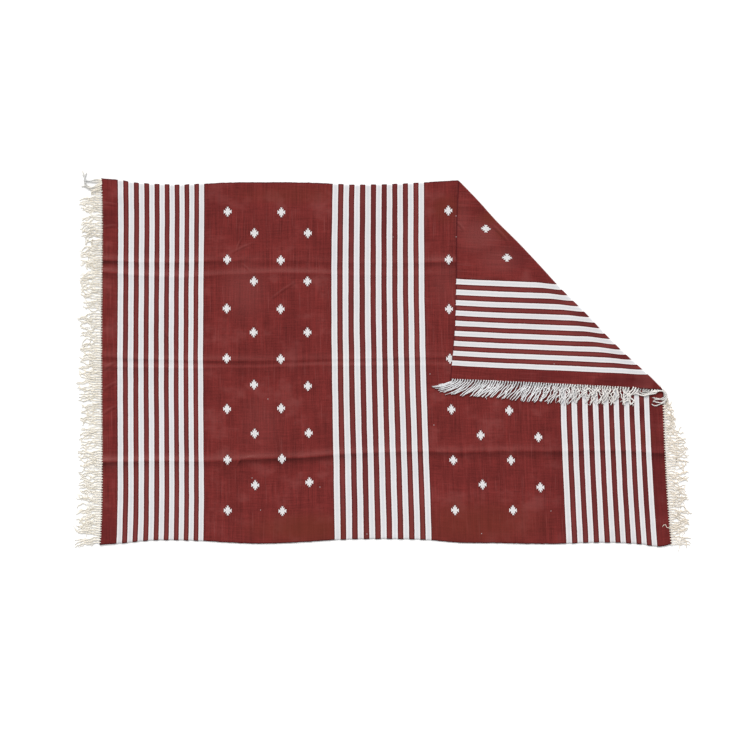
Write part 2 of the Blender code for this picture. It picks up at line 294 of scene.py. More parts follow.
def columnPlaces():
    # u of each column, three cells to a stripe, and 1 on a red stripe or -1 on a white one
    columns = [(0.0, 0), (0.003, 0), (0.008, 0)]

    def fill(end):
        start = columns[-1][0]
        count = max(1, round((end - start) / relief["cell"][0]))
        columns.extend([(start + (end - start) * (i + 1) / count, 0) for i in range(count)])

    for band in bands:
        fill(band["start"])
        whole = (band["whites"] - 1) * band["pitch"] + band["width"]
        for i in range(band["whites"]):
            start = band["start"] + i * band["pitch"]
            start += band["bow"] * math.sin(math.pi * i * band["pitch"] / whole)
            widths = [(band["width"], -1)]
            if i < band["whites"] - 1:
                widths.append((band["pitch"] - band["width"], 1))
            for width, kind in widths:
                for share in (0.18, 0.82, 1.0):
                    columns.append((start + width * share, kind if share < 1 else 0))
                start += width
    fill(plan["length"] - 0.008)
    return np.array(columns + [(plan["length"] - 0.003, 0), (plan["length"], 0)]).T


def rowPlaces(u):
    # v of each row for every u: rows follow the creases and crowd round them
    guides = [np.zeros_like(u)] + [smoothAlong(crease["line"], u) for crease in creases]
    guides.append(np.full_like(u, plan["width"]))
    near = [(0.0, 0.003, 0.008)] + [(0.0, 0.0022, 0.005, 0.01)] * len(creases)
    under = [(0.011, 0.0055, 0.0025)] * len(creases) + [(0.008, 0.003)]
    rows = []
    for k in range(len(guides) - 1):
        low = guides[k] + near[k][-1]
        high = guides[k + 1] - under[k][0]
        rows += [guides[k] + offset for offset in near[k]]
        count = max(1, round(float(np.mean(high - low)) / relief["cell"][1]))
        rows += [low + (high - low) * i / count for i in range(1, count)]
        rows += [guides[k + 1] - offset for offset in under[k]]
    rows.append(guides[-1])
    return np.array(rows)


def makeCloth():
    u, kinds = columnPlaces()
    v = rowPlaces(u)
    rows, columns = v.shape
    bpy.ops.object.select_all(action="DESELECT")
    bpy.ops.mesh.primitive_grid_add(x_subdivisions=columns - 1, y_subdivisions=rows - 1, size=1)
    cloth = bpy.context.object
    cloth.name = cloth.data.name = "rugCloth"
    mesh = cloth.data
    chance = np.random.default_rng(relief["seed"])
    uu = np.tile(u, rows)
    vv = v.reshape(-1)
    kind = np.tile(kinds, rows)
    x, y = clothPoint(uu, vv)
    # the red stripes stand out a little at the selvedges, the white ones are drawn in
    ragged = np.tile(chance.normal(0, relief["selvedgeRag"], columns), rows)
    edge = relief["selvedgeReach"]
    nearEdge = np.exp(-(plan["width"] - vv) / edge) - np.exp(-vv / edge)
    y = y + nearEdge * (kind * relief["selvedgeStep"] + ragged)
    points = np.column_stack((x, y, np.zeros_like(x)))
    mesh.vertices.foreach_set("co", points.ravel())
    flat = mesh.uv_layers[0]
    flat.name = "flatCloth"
    corner = np.empty(len(mesh.loops), np.int32)
    mesh.loops.foreach_get("vertex_index", corner)
    flat.uv.foreach_set("vector", np.column_stack((uu, vv))[corner].ravel())
    # flat coordinates travel with the points through the cuts
    for name, values in (("u", uu), ("v", vv)):
        mesh.attributes.new(name, "FLOAT", "POINT").data.foreach_set("value", values.astype(np.float32))
    cutRoll(cloth)
    foldCloth(cloth)
    thickenCloth(cloth)
    return cloth


def cutRoll(cloth):
    onlySelect(cloth)
    bpy.ops.object.mode_set(mode="EDIT")
    radius = plan["rollRadius"]
    begin = -(radius + halfCloth)
    reaches = [begin + math.pi * radius * i / plan["rollSteps"] for i in range(plan["rollSteps"] + 1)]
    reaches += [begin - 0.004, begin - 0.012, reaches[-1] + 0.008, reaches[-1] + 0.018]
    for reach in reaches:
        spot = foldStart + foldAcross * reach
        bpy.ops.mesh.select_all(action="SELECT")
        bpy.ops.mesh.bisect(plane_co=(*spot, 0), plane_no=(*foldAcross, 0))
    bpy.ops.object.mode_set(mode="OBJECT")


def flatPlaces(mesh):
    places = np.empty((2, len(mesh.vertices)))
    for name, values in zip("uv", places):
        mesh.attributes[name].data.foreach_get("value", values)
    return places


def foldCloth(cloth):
    mesh = cloth.data
    count = len(mesh.vertices)
    points = np.empty(count * 3)
    mesh.vertices.foreach_get("co", points)
    x, y, _ = points.reshape(-1, 3).T
    u, v = flatPlaces(mesh)
    reach = reachOf(x, y)
    lift = creaseRelief(u, v, x, y)
    # painted light beyond each crest and painted shade before it, for the red yarn, left off the turned
    # corner
    paintedLightAndShade = np.zeros(count)
    for crease in creases:
        away = v - smoothAlong(crease["line"], u)
        beyond = np.maximum(away, 0) / relief["lightReach"]
        before = np.maximum(-away, 0) / relief["darkReach"]
        lighter = np.interp(u, *crease["lighter"].T) * beyond * np.exp((1 - beyond**2) / 2)
        darker = np.interp(u, *crease["darker"].T) * before * np.exp(1 - before)
        paintedLightAndShade = paintedLightAndShade + lighter - darker
    wornAndPaintedLight = mesh.attributes.new("creaseLightAndShade", "FLOAT", "POINT")
    wornAndPaintedLight.data.foreach_set("value", np.where(reach < 0, paintedLightAndShade, 0.0).astype(np.float32))
    x, y, z = turnCorner(x, y, lift)
    mesh.vertices.foreach_set("co", np.column_stack((x, y, z)).ravel())
    mesh.update()


def thickenCloth(cloth):
    # the four edges are thinner, so that they look rounded
    mesh = cloth.data
    u, v = flatPlaces(mesh)
    for name in "uv":
        mesh.attributes.remove(mesh.attributes[name])
    inset = np.minimum.reduce((u, plan["length"] - u, v, plan["width"] - v))
    group = cloth.vertex_groups.new(name="body")
    for low, high, weight in ((-1, 0.001, 0.42), (0.001, 0.005, 0.85), (0.005, 9, 1.0)):
        group.add(np.flatnonzero((inset > low) & (inset <= high)).tolist(), weight, "REPLACE")
    onlySelect(cloth)
    thicken = cloth.modifiers.new("thickness", "SOLIDIFY")
    thicken.thickness = plan["thickness"]
    thicken.offset = 0.0
    thicken.use_even_offset = True
    thicken.vertex_group = "body"
    bpy.ops.object.modifier_apply(modifier=thicken.name)
    cloth.vertex_groups.clear()
    bpy.ops.object.shade_smooth()


yarn = {
    "pitch": 0.0082,
    "inset": 0.004,
    "rootKnot": 0.32,  # how much thicker a strand is where it leaves the cloth
    "rootLift": 0.001,
    "wide": 0.0021,  # half width and half thickness of the two plies
    "narrow": 0.0013,
    "points": 34,
    "twistPitch": 0.012,
    "swing": 0.0033,
    "lift": 0.003,
    "scatter": 0.005,
    "dropFrom": 0.0035,  # how far along a strand leaves the cloth's edge, and comes down
    "dropLength": 0.012,
    "tipScatter": 0.0018,
    "waves": ((0.7, 0.9, 2.2), (0.45, 2.5, 5.0)),  # size, and least and most turns
    "taper": 0.25,
    "tip": 0.35,
    "knotReach": 0.0045,
    "threadZ": 0.0058,
    "threadThickness": 0.6,
    "hairPoints": 7,
    "hairLength": 0.01,
    "hairThickness": 0.24,
    "hairFrom": 0.45,  # how far along a strand its hairs begin
    "hairBend": 1.5,
    "hairRise": (-0.0004, 0.001),
}
# Rows for the bunches: y where the roots end on the flat cloth, x and y of the first and the last tip,
# and how unruly it is
leftBunches = (
    (541, -966, 572, -968, 550, 800), (485, -1000, 532, -1000, 495, 1000),
    (433, -997, 466, -1000, 433, 1000), (386, -1003, 423, -985, 393, 1100),
    (337, -997, 363, -1000, 333, 1000), (297, -1007, 323, -985, 304, 1200),
    (231, -1003, 281, -1003, 235, 1000), (159, -1003, 225, -987, 169, 1000),
    (116, -1010, 138, -1007, 119, 900), (63, -1000, 109, -1003, 70, 1000), (-3, -1000, 53, -1003, 0, 1000),
    (-66, -1007, -16, -1010, -56, 900), (-138, -1013, -69, -1007, -132, 900),
    (-214, -1000, -152, -1007, -211, 1000), (-294, -1003, -227, -1005, -287, 900),
    (-360, -1010, -306, -1003, -354, 1000), (-429, -1002, -369, -1007, -420, 1000),
    (-478, -1003, -440, -1017, -466, 1100), (-581, -1010, -508, -1017, -556, 1000),
    (-606, -1018, -594, -1018, -617, 800),
)
rightBunches = (
    (-171, 954, -141, 960, -167, 1300), (-224, 968, -184, 972, -214, 1300),
    (-267, 990, -233, 1003, -262, 1200), (-363, 1006, -279, 1010, -356, 1000),
    (-402, 1010, -371, 1013, -396, 1000), (-488, 1006, -417, 1010, -476, 1100),
    (-577, 1018, -510, 1006, -562, 1000), (-612, 1018, -592, 1016, -612, 900),
)
turnedBunches = (
    (542, 158, -91, 204, -114, 700), (489, 222, -114, 283, -121, 550), (443, 292, -121, 334, -125, 500),
    (374, 340, -124, 412, -129, 500), (291, 421, -132, 497, -142, 600), (245, 512, -138, 556, -145, 900),
    (163, 570, -142, 648, -146, 1200), (73, 660, -145, 740, -148, 1300), (12, 752, -146, 812, -152, 1300),
)

# Strands that are charted one by one, through these points in plan
cornerStrands = (
    ((-927, 594), (-947, 596), (-967, 591), (-978, 591), (-983, 601), (-987, 614), (-993, 625)),
    ((-927, 587), (-945, 577), (-957, 570), (-971, 568), (-981, 575), (-985, 588), (-983, 604),
     (-977, 620)),
    ((-927, 590), (-950, 588), (-966, 590), (-980, 594), (-985, 602), (-982, 611)),
    ((-927, 580), (-951, 570), (-972, 569), (-986, 574), (-996, 574)),
    ((-927, 583), (-946, 572), (-968, 572), (-979, 580), (-981, 592), (-986, 606), (-992, 612)),
    ((-927, 572), (-944, 566), (-955, 561), (-968, 563)),
    ((-927, 565), (-946, 560), (-962, 552), (-955, 546)),
)
foldEndStrands = (
    ((826, -88), (822, -98), (812, -108), (815, -125), (826, -134), (818, -146), (810, -140)),
    ((834, -90), (828, -103), (816, -116), (812, -132), (802, -136)),
    ((843, -92), (836, -106), (824, -113), (811, -113), (798, -120), (790, -130)),
    ((852, -93), (846, -105), (858, -111), (885, -108), (908, -103), (926, -104), (931, -115), (922, -126),
     (903, -127), (886, -124)),
    ((861, -93), (856, -103), (870, -107), (896, -102), (917, -99), (931, -106), (934, -120), (925, -130),
     (905, -130), (893, -134), (889, -141)),
    ((870, -94), (866, -104), (880, -105), (905, -99), (924, -98), (934, -109), (933, -126), (924, -139),
     (906, -140), (890, -136)),
    ((879, -95), (875, -104), (890, -103), (912, -99), (930, -103), (936, -117), (930, -137), (913, -146),
     (896, -151), (884, -145)),
    ((888, -96), (884, -104), (899, -104), (920, -102), (933, -112), (935, -126)),
    ((897, -97), (892, -106), (876, -113), (858, -117), (842, -113), (828, -108)),
    ((906, -98), (902, -107), (886, -112), (868, -113), (850, -109)),
)
looseThread = (
    (952, -553), (944, -553.5), (936.5, -552.5), (931.5, -544), (927.5, -543.5), (921, -550.5),
)


def endPlace(rightEnd, y):
    # the place on the flat cloth of a point of an end
    near, span = plan["endSpan"]
    return np.array([plan["length"] if rightEnd else 0.0]), np.array([(y - near) / span * plan["width"]])


def endPoint(rightEnd, y, out):
    # a point beside an end of the flat rug, this far out from its edge
    x, _ = clothPoint(*endPlace(rightEnd, y))
    return np.array((x[0] + (out if rightEnd else -out), y))


def strandPlan(chance, kind):
    # root, its height, heading, tip, unruliness and lock of every strand
    found = []
    lock = 0
    start = kind["start"]
    for rootEnd, firstX, firstY, lastX, lastY, unruly in thousandths(kind["bunches"]).tolist():
        count = max(1, round((start - rootEnd) / yarn["pitch"]))
        first, last = np.array((firstX, firstY)), np.array((lastX, lastY))
        left = 0
        for i in range(count):
            if left == 0:
                left = min(count - i, chance.choice(kind["locks"]))
                middle = (i + (left - 1) / 2) / max(1, count - 1)
                away = np.array((chance.gauss(0, 1), chance.gauss(0, 0.6))) * yarn["scatter"]
                lockTip = first * (1 - middle) + last * middle + away * unruly
                lock += 1
            left -= 1
            share = i / max(1, count - 1)
            tip = first * (1 - share) + last * share
            tip = tip + (lockTip - tip) * kind["cling"] * min(1, unruly)
            y = start + (rootEnd - start) * (i + 0.5) / count
            root = endPoint(kind["rightEnd"], y, -yarn["inset"])
            ahead = endPoint(kind["rightEnd"], y, 0.01)
            lift = creaseRelief(*endPlace(kind["rightEnd"], y), root[:1], root[1:])
            x, y, z = turnCorner(root[:1], root[1:], lift)
            if kind["turned"]:
                root = np.array((x[0], y[0]))
                ahead = np.array(turnCorner(ahead[0], ahead[1], 0.0)[:2])
            heading = (ahead - root) / np.linalg.norm(ahead - root)
            found.append((root, z[0] + yarn["rootLift"], heading, tip, unruly, lock))
        start = rootEnd
    return found


def distances(line):
    # how far along a line each of its points is
    return np.concatenate(((0,), np.cumsum(np.linalg.norm(np.diff(line, axis=0), axis=1))))


def layDown(chance, line, rootZ, restZ, unruly):
    # heights along a strand: off the cloth's edge, down to where it rests, over its neighbours
    gone = distances(line)
    t = gone / gone[-1]
    hump = yarn["lift"] * chance.random() ** 1.3 * unruly
    hump = hump * np.sin(math.pi * np.clip(t * 1.1, 0, 1)) ** 2
    down = ease((gone - yarn["dropFrom"]) / yarn["dropLength"])
    z = rootZ * (1 - down) + restZ * down + hump
    return np.column_stack((line, z))


def randomWave(chance, t, low, high):
    # a wave of this many turns along a strand
    return np.sin(2 * math.pi * chance.uniform(low, high) * t + chance.uniform(0, 6.28))


def strandLine(chance, kind, root, heading, tip, unruly, lock):
    # plan of one strand: out along its heading, then over to its tip, waving with its lock
    t = np.linspace(0, 1, yarn["points"])
    jitter = np.array((chance.gauss(0, 1), chance.gauss(0, 1))) * yarn["tipScatter"]
    tip = tip + jitter * unruly
    length = np.linalg.norm(tip - root)
    bend = root + heading * length * kind["straight"]
    line = np.outer((1 - t) ** 2, root) + np.outer(2 * t * (1 - t), bend) + np.outer(t**2, tip)
    side = np.array((-heading[1], heading[0]))
    shared = random.Random(lock * 31 + 5)
    swing = shared.uniform(0.3, 1.0) * randomWave(shared, t, 0.7, 1.5)
    for size, *turns in yarn["waves"]:
        swing = swing + size * randomWave(chance, t, *turns)
    swing = swing * yarn["swing"] * unruly * np.minimum(1, t * 2.5) ** 1.5
    # the last part curls over
    curl = shared.uniform(-1, 1) * kind["cling"] + chance.gauss(0, 0.5) * (1.4 - kind["cling"])
    curl = curl * kind["curl"] * unruly * np.clip((t - 0.55) / 0.45, 0, 1) ** 2
    back = np.abs(curl) * 0.6
    return line + np.outer(swing + curl, side) - np.outer(back, heading)


def addHairs(curve, chance, line, thick):
    # loose fibres that stand off the untwisted end of a strand
    for _ in range(2):
        at = line[chance.randrange(int(len(line) * yarn["hairFrom"]), len(line))]
        turn = chance.uniform(0, 2 * math.pi)
        reach = yarn["hairLength"] * chance.uniform(0.4, 1.0)
        t = np.linspace(0, 1, yarn["hairPoints"])
        bent = turn + chance.uniform(-yarn["hairBend"], yarn["hairBend"]) * t
        x, y = at[0] + reach * t * np.cos(bent), at[1] + reach * t * np.sin(bent)
        z = np.full_like(t, at[2]) + chance.uniform(*yarn["hairRise"]) * t
        addStrand(curve, np.column_stack((x, y, z)), thick * yarn["hairThickness"], chance)


def throughPoints(points):
    # a smooth line through charted points
    points = thousandths(points)
    gone = distances(points)
    at = np.linspace(0, gone[-1], yarn["points"])
    return np.column_stack([smoothAlong(np.column_stack((gone, points[:, k])), at) for k in range(2)])


def addStrand(curve, line, thick, chance, knot=0.0):
    spline = curve.splines.new("POLY")
    spline.points.add(len(line) - 1)
    spline.points.foreach_set("co", np.column_stack((line, np.ones(len(line)))).ravel())
    gone = distances(line)
    twist = gone / yarn["twistPitch"] * 2 * math.pi
    spline.points.foreach_set("tilt", twist + chance.uniform(0, 6))
    lastPart = ease((np.linspace(0, 1, len(line)) - 0.8) / 0.2)
    radius = thick * (1 - yarn["taper"] * lastPart)
    radius = radius * (1 + knot * np.exp(-((gone / yarn["knotReach"]) ** 2)))
    radius[-1] = thick * yarn["tip"]
    spline.points.foreach_set("radius", radius)


def plyProfile():
    # two plies side by side, seen end on
    curve = bpy.data.curves.new("plyProfile", "CURVE")
    curve.dimensions = "2D"
    spline = curve.splines.new("POLY")
    spline.points.add(7)
    wide, narrow = yarn["wide"], yarn["narrow"]
    for i, point in enumerate(spline.points):
        turn = 2 * math.pi * i / 8
        size = (wide, narrow * 1.15, narrow * 0.75, narrow * 1.15)[i % 4]
        point.co = (size * math.cos(turn), size * math.sin(turn), 0, 1)
    spline.use_cyclic_u = True
    profile = bpy.data.objects.new("plyProfile", curve)
    bpy.context.scene.collection.objects.link(profile)
    return profile


def makeFringe(kind, profile):
    chance = random.Random(kind["seed"])
    name, thick = kind["name"], kind["thick"]
    curve = bpy.data.curves.new(name, "CURVE")
    curve.dimensions = "3D"
    curve.bevel_mode = "OBJECT"
    curve.bevel_object = profile
    curve.use_fill_caps = True
    strays, strayBulk = kind["strays"]
    charted, chartedZ, chartedBulk = kind["charted"]
    restZ = kind["floorZ"] + yarn["wide"] * thick
    for root, rootZ, heading, tip, unruly, lock in strandPlan(chance, kind):
        line = strandLine(chance, kind, root, heading, tip, unruly, lock)
        line = layDown(chance, line, rootZ, restZ, unruly)
        addStrand(curve, line, thick * chance.uniform(0.85, 1.12), chance, yarn["rootKnot"])
        if chance.random() < kind["hairs"]:
            addHairs(curve, chance, line, thick)
        if chance.random() < strays:
            end = root + (tip - root) * chance.uniform(0.55, 1.04)
            line = strandLine(chance, kind, root, heading, end, unruly * 1.8, lock)
            line = layDown(chance, line, rootZ, restZ, unruly * 1.6)
            addStrand(curve, line, thick * strayBulk, chance)
    chartedRest = kind["floorZ"] + yarn["wide"] * thick * chartedBulk
    for points in charted:
        line = layDown(chance, throughPoints(points), chartedZ, chartedRest, 1.2)
        addStrand(curve, line, thick * chartedBulk, chance)
    for points in kind["threads"]:
        line = throughPoints(points)
        height = np.full(len(line), yarn["threadZ"])
        addStrand(curve, np.column_stack((line, height)), yarn["threadThickness"], chance)
    fringe = bpy.data.objects.new(name, curve)
    bpy.context.scene.collection.objects.link(fringe)
    onlySelect(fringe)
    bpy.ops.object.convert(target="MESH")
    bpy.ops.object.mode_set(mode="EDIT")
    bpy.ops.mesh.select_all(action="SELECT")
    bpy.ops.mesh.remove_doubles(threshold=0.00001)
    bpy.ops.mesh.normals_make_consistent(inside=False)
    bpy.ops.object.mode_set(mode="OBJECT")
    bpy.ops.object.shade_smooth()
    print(name, len(fringe.data.polygons), "faces")
    return fringe


# Node helpers. A Value is an output of a node, and arithmetic with it makes the nodes
class Value:
    def __init__(self, socket):
        self.socket, self.tree = socket, socket.id_data

    def __add__(self, other):
        return calc("ADD", self, other)

    def __sub__(self, other):
        return calc("SUBTRACT", self, other)

    def __rsub__(self, other):
        return calc("SUBTRACT", other, self)

    def __mul__(self, other):
        return calc("MULTIPLY", self, other)

    def __truediv__(self, other):
        return calc("DIVIDE", self, other)

    __radd__ = __add__


def feed(socket, value):
    if isinstance(value, Value):
        value.tree.links.new(value.socket, socket)
    else:
        socket.default_value = value


def addNode(tree, kind, inputs=(), **settings):
    made = tree.nodes.new(kind)
    for name, value in settings.items():
        setattr(made, name, value)
    for name, value in dict(inputs).items():
        feed(made.inputs[name], value)
    return made


def treeOf(values):
    return next(value.tree for value in values if isinstance(value, Value))


def calc(operation, *values, clamp=False):
    made = addNode(
        treeOf(values), "ShaderNodeMath", enumerate(values), operation=operation, use_clamp=clamp
    )
    return Value(made.outputs[0])


def least(*values):
    return reduce(lambda first, second: calc("MINIMUM", first, second), values)


def most(*values):
    return reduce(lambda first, second: calc("MAXIMUM", first, second), values)


def vectorCalc(operation, *values, output="Vector", **named):
    inputs = {**dict(enumerate(values)), **named}
    made = addNode(treeOf(values), "ShaderNodeVectorMath", inputs, operation=operation)
    return Value(made.outputs[output])


def splitVector(value):
    return [Value(part) for part in addNode(value.tree, "ShaderNodeSeparateXYZ", {0: value}).outputs]


def soften(value, low, high):
    # 0 below low, 1 above high, smooth between
    made = addNode(
        value.tree, "ShaderNodeMapRange", {"Value": value, "From Min": low, "From Max": high},
        interpolation_type="SMOOTHSTEP",
    )
    return Value(made.outputs["Result"])


def blendColour(share, first, second):
    made = addNode(share.tree, "ShaderNodeMix", {0: share, 6: first, 7: second}, data_type="RGBA")
    return Value(made.outputs[2])


def stretchedNoise(along, across, perAlong, perAcross, detail=2, roughness=0.5):
    # noise with this many grains to the metre, along and across the rug
    vector = addNode(along.tree, "ShaderNodeCombineXYZ", {0: along * perAlong, 1: across * perAcross})
    noise = addNode(along.tree, "ShaderNodeTexNoise", {
        "Vector": Value(vector.outputs[0]), "Scale": 1, "Detail": detail, "Roughness": roughness,
    })
    return Value(noise.outputs["Fac"])


socketKinds = {"Colour": "Color", "Place": "Vector", "Middle": "Vector", "Way": "Vector"}


def newGroup(name, inputs, outputs):
    tree = bpy.data.node_groups.new(name, "ShaderNodeTree")
    for titles, side in ((inputs, "INPUT"), (outputs, "OUTPUT")):
        for title in titles:
            kind = "NodeSocket" + socketKinds.get(title, "Float")
            tree.interface.new_socket(title, in_out=side, socket_type=kind)
    given = addNode(tree, "NodeGroupInput").outputs
    return tree, [Value(given[title]) for title in inputs], addNode(tree, "NodeGroupOutput").inputs


def useGroup(tree, group, **values):
    return [Value(socket) for socket in addNode(tree, "ShaderNodeGroup", values, node_tree=group).outputs]


stripeLooks = {
    # distances in from a stripe's edge, in metres, where each mask starts and is full
    "white": (-0.0005, 0.0005),
    "border": (0.0012, 0.005),
    "middle": (0.0035, 0.007),
    "between": (0.0025, 0.0065),
    "margin": 0.004,
}


def stripeGroup():
    # a band of white stripes: White is 1 on a stripe, Border along both sides of its edges,
    # Middle in its middle, and Between in the middle of the red ones between them
    tree, (along, start, pitch, width, whites, bow), out = newGroup(
        "stripeBand", ("Along", "Start", "Pitch", "Width", "Whites", "Bow"),
        ("White", "Border", "Middle", "Between"),
    )
    along = along - start
    whole = (whites - 1) * pitch + width
    along = along - calc("SINE", calc("DIVIDE", along, whole, clamp=True) * math.pi) * bow
    local = calc("FRACT", along / pitch) * pitch
    inside = most(least(local, width - local), local - pitch)
    within = least(along, whole - along)
    here = calc("GREATER_THAN", within, -stripeLooks["margin"])
    feed(out["White"], soften(inside, *stripeLooks["white"]) * here)
    feed(out["Border"], (1 - soften(calc("ABSOLUTE", inside), *stripeLooks["border"])) * here)
    feed(out["Middle"], soften(inside, *stripeLooks["middle"]) * here)
    feed(out["Between"], soften(inside * -1, *stripeLooks["between"]) * calc("GREATER_THAN", within, 0))
    return tree


motif = {
    # half height of the stepped diamond against the distance from its middle line
    "chart": ((0, 13.8), (2.5, 17.6), (2.6, 8), (6.7, 12), (6.8, 1.8), (12.5, 6.8), (12.6, -10)),
    "halfWidth": 0.02,
    "tallest": 0.018,
    "shift": 0.01,
    # u of each column, then v of each figure in it
    "columns": (
        (412.5, (1102.6, 943, 780, 613.7, 445, 276, 107)), (502, (1031, 871, 701.3, 527.6, 365.7, 194.4)),
        (590.5, (1100, 940.3, 778.3, 612, 448.6, 280.6, 107)),
        (679.5, (1031, 870.3, 699.7, 520.4, 363.3, 199)),
        (1147, (1100.7, 938, 773.7, 608.7, 440.7, 272.4, 107)), (1242, (1028, 869, 698, 524, 356.1, 193)),
        (1340, (1102.3, 939, 777, 612, 437.7, 274, 109.3)), (1434.5, (1032.3, 869, 698, 524, 351.8, 186.8)),
    ),
}


def motifGroup():
    # a stepped diamond with swallow-tailed points: Inside is how far in from its edge a place is
    tree, (along, across), out = newGroup("steppedDiamond", ("Along", "Across"), ("Inside",))
    ramp = addNode(tree, "ShaderNodeValToRGB", {0: along / motif["halfWidth"]})
    stops = ramp.color_ramp.elements
    scale = motif["tallest"] + motif["shift"]
    for i, (place, height) in enumerate(thousandths(motif["chart"])):
        stop = stops[i] if i < 2 else stops.new(place / motif["halfWidth"])
        stop.position = place / motif["halfWidth"]
        level = (height + motif["shift"]) / scale
        stop.color = (level, level, level, 1)
    feed(out["Inside"], Value(ramp.outputs[0]) * scale - motif["shift"] - across)
    return tree


def nearest(value, places):
    # distance to the nearest of several places
    return least(*[calc("ABSOLUTE", value - place) for place in places])


# Hand-spun cotton: grains to the metre along and across the rug, detail, roughness and weight of its
# streaks, ribs and flecks, and last its clouds
cottonGrains = (
    (330, 9, 2, 0.6, 0.85), (120, 4, 2, 0.6, 0.36), (34, 2.2, 2, 0.6, 0.42), (16, 230, 2, 0.6, 0.6),
    (230, 190, 3, 0.7, 0.62), (9, 11, 4, 0.6, 0.6),
)


def cottonGroup():
    tree, (along, across, plain, contrast), out = newGroup(
        "handSpunCotton", ("Along", "Across", "Colour", "Contrast"), ("Colour", "Cloud")
    )
    noises = [stretchedNoise(along, across, *grain[:4]) for grain in cottonGrains]
    shade = sum((noise - 0.5) * grain[4] for noise, grain in zip(noises, cottonGrains))
    feed(out["Colour"], vectorCalc("SCALE", plain, Scale=shade * contrast + 1))
    feed(out["Cloud"], noises[-1])
    return tree


def weaveGroup():
    # weft picks passing over one warp and under the next
    tree, (along, across, pick, warp), out = newGroup(
        "weftFacedWeave", ("Along", "Across", "Pick", "Warp"), ("Height",)
    )
    row = along / pick
    crown = calc("SINE", calc("FRACT", row) * math.pi)
    shift = calc("MODULO", calc("FLOOR", row), 2) * 0.5
    over = calc("SINE", calc("FRACT", across / warp + shift) * math.pi)
    ragged = stretchedNoise(along, across, 700, 160, 2, 0.6)
    feed(out["Height"], ragged * 0.6 + calc("POWER", crown, 0.6) * calc("POWER", over, 0.5))
    return tree


clothLooks = {
    "red": (0.147, 0.02, 0.0182, 1),
    # paler red for wear and for the painted highlight along the red stripes
    "wornAndLitRed": (0.205, 0.052, 0.048, 1),
    "palePick": (0.24, 0.062, 0.058, 1),
    # paler red for the painted light on the creases
    "highlitCreaseRed": (0.262, 0.08, 0.073, 1),
    # darker red, also the colour of painted shade and shadow
    "deepAndShadedRed": (0.055, 0.005, 0.0075, 1),
    "brownAndHighlightRed": (0.132, 0.024, 0.014, 1),
    "white": (0.635, 0.628, 0.636, 1),
    "edgeWhite": (0.76, 0.72, 0.715, 1),
    "middleWhite": (0.574, 0.584, 0.61, 1),
    "pick": 0.0013,
    "warp": 0.0041,
    "roughness": 0.95,
    "gloss": 0.12,
    "bump": (0.35, 0.0006),  # strength, distance
    "wander": 0.0026,  # how far the woven lines stray, in metres
    "jagged": 0.0012,
    # patches in plan, faded by use: middle x, y, half sizes, strength
    "wornAndPaintedLight": (
        (320, 410, 100, 75, 750), (385, 330, 100, 60, 600), (262, 455, 40, 70, 500),
        (-455, 235, 100, 130, 500), (-400, -205, 90, 130, 300), (200, 260, 70, 120, 350),
        (340, 190, 40, 110, 500),
    ),
    # browner patches; the first two are a painted highlight off the rounded fold
    "brownAndFoldHighlight": (
        (355, 470, 50, 30, 1000), (400, 420, 40, 30, 800), (205, 500, 60, 60, 800),
        (-250, -555, 250, 70, 900), (300, -540, 300, 100, 700), (-300, 545, 250, 40, 500),
        (860, -260, 50, 40, 900),
    ),
    # deeper patches: darker yarn, and painted shadow along the fold and beside the turned fringe
    "deepAndShaded": (
        (800, -72, 160, 30, 550), (520, 220, 100, 100, 250), (890, -200, 40, 90, 350),
        (-905, 470, 50, 50, 300), (-905, -560, 50, 90, 250), (740, -380, 260, 340, 380),
        (-735, -60, 200, 750, 160), (-300, 60, 100, 160, 120), (-555, 530, 70, 90, 160),
        (-35, 0, 170, 1100, 280), (890, -420, 100, 260, 480), (530, -55, 180, 35, 320),
        (-10, 480, 150, 260, 420), (745, -150, 150, 90, 550), (450, 335, 60, 60, 300),
        (570, 215, 60, 60, 300), (690, 95, 70, 70, 350), (660, 150, 70, 60, 480), (790, 10, 80, 50, 480),
        (-735, 480, 160, 220, 240), (840, -170, 60, 60, 680), (675, -170, 60, 60, 620),
    ),
    # fine puckers, drawn only as painted light and shade: middle x, y, half length, half width, turn in
    # degrees
    "puckers": (
        (-462, 372, 45, 6, 24), (-475, 383, 26, 5.5, 66), (-452, 306, 20, 6, -40), (-477, -338, 20, 6, 58),
        (-440, -321, 24, 7, 6), (-905, -20, 30, 8, 32), (-900, -85, 35, 8, 28), (-902, -165, 35, 8, 30),
        (-905, 515, 30, 8, -6), (-905, 440, 30, 8, 8), (-700, 60, 60, 8, -60), (257, 441, 22, 7, -50),
        (385, 420, 50, 8, -46), (-330, 230, 60, 7, 35),
    ),
    # stray ends of white yarn
    "slubs": (
        (33, 406), (155, -46), (168, -214.5), (554, -498), (325, -572.6), (-379.5, -128.7), (-404, -495),
        (-53, -574), (-432, -389), (-208, -419), (241, 406), (564, -13), (241, 475),
    ),
}


def puckerGroup():
    # a short fine crease, painted light along one side and painted shade along the other
    tree, (place, middle, way, length, width), out = newGroup(
        "finePucker", ("Place", "Middle", "Way", "Length", "Width"), ("LightAndShade",)
    )
    x, y, _ = splitVector(vectorCalc("SUBTRACT", place, middle))
    c, s, _ = splitVector(way)
    along = (x * c + y * s) / length
    # the line curves a little
    across = (along * along * 0.003 + (y * c - x * s)) / width
    here = calc("SUBTRACT", 1, along * along, clamp=True)
    near = calc("SUBTRACT", 1, across * across, clamp=True)
    feed(out["LightAndShade"], here * near * across)
    return tree


